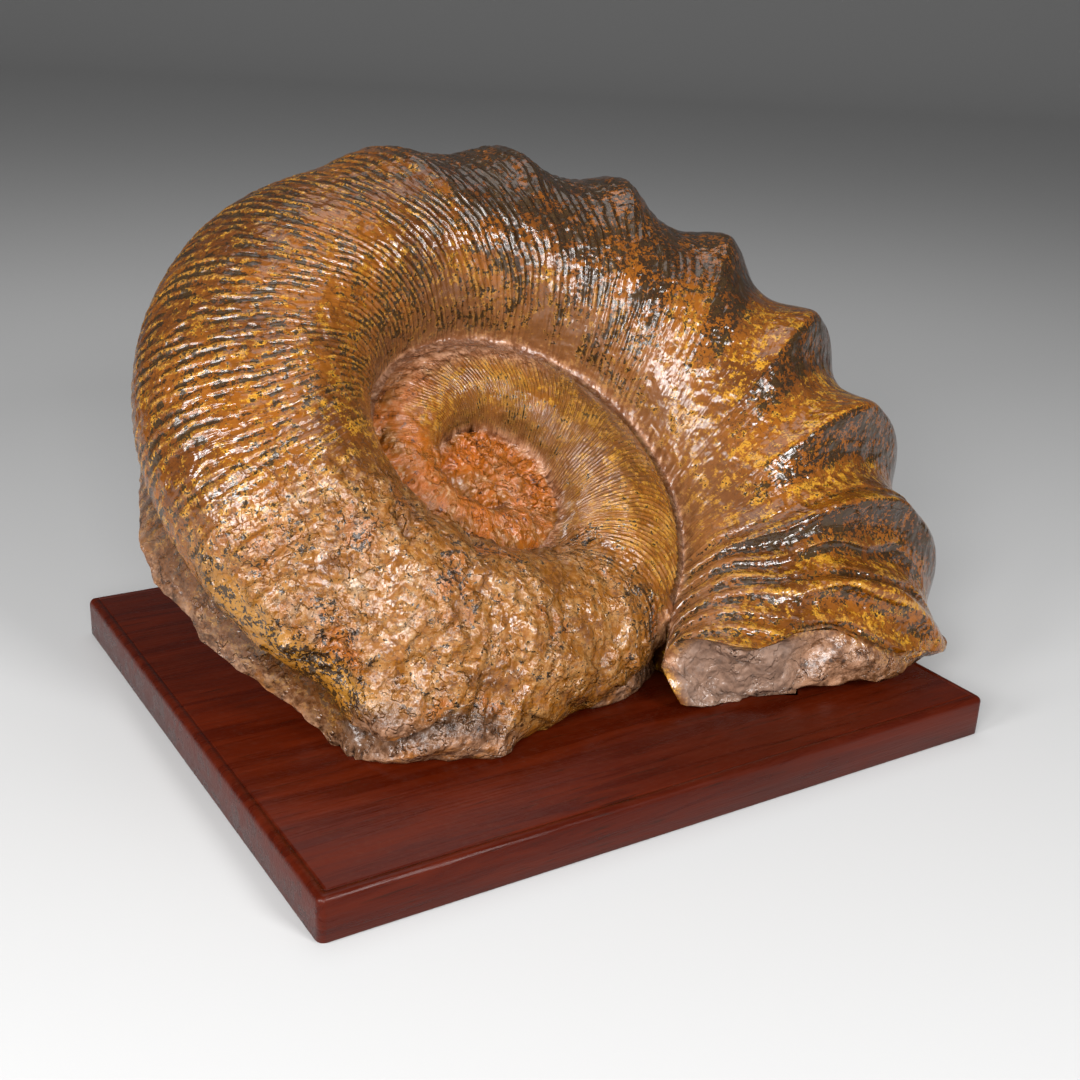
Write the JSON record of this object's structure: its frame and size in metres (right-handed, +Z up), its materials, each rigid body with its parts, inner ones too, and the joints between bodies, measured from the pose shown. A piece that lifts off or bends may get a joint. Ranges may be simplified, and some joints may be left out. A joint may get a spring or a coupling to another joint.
{
  "type": "ammonite fossil",
  "caption": "Large coiled ammonite, partly in its own rough stone, leaning back on a rectangular mahogany display board.",
  "frame": {"origin": "centre of the board's underside", "axes": "+Z up, +X along the board's front edge, +Y to the back; the shell's shown flank faces -Y and up"},
  "size_m": [0.4878, 0.3874, 0.2897],
  "materials": {
    "fossil_shell": "varnished golden-brown fossil shell with dark mottling, and rough pinkish-grey matrix",
    "mahogany": "dark red-brown mahogany, satin polish"
  },
  "bodies": {
    "root": {"ammonite": "fossil_shell", "board": "mahogany"}
  },
  "joints": []
}
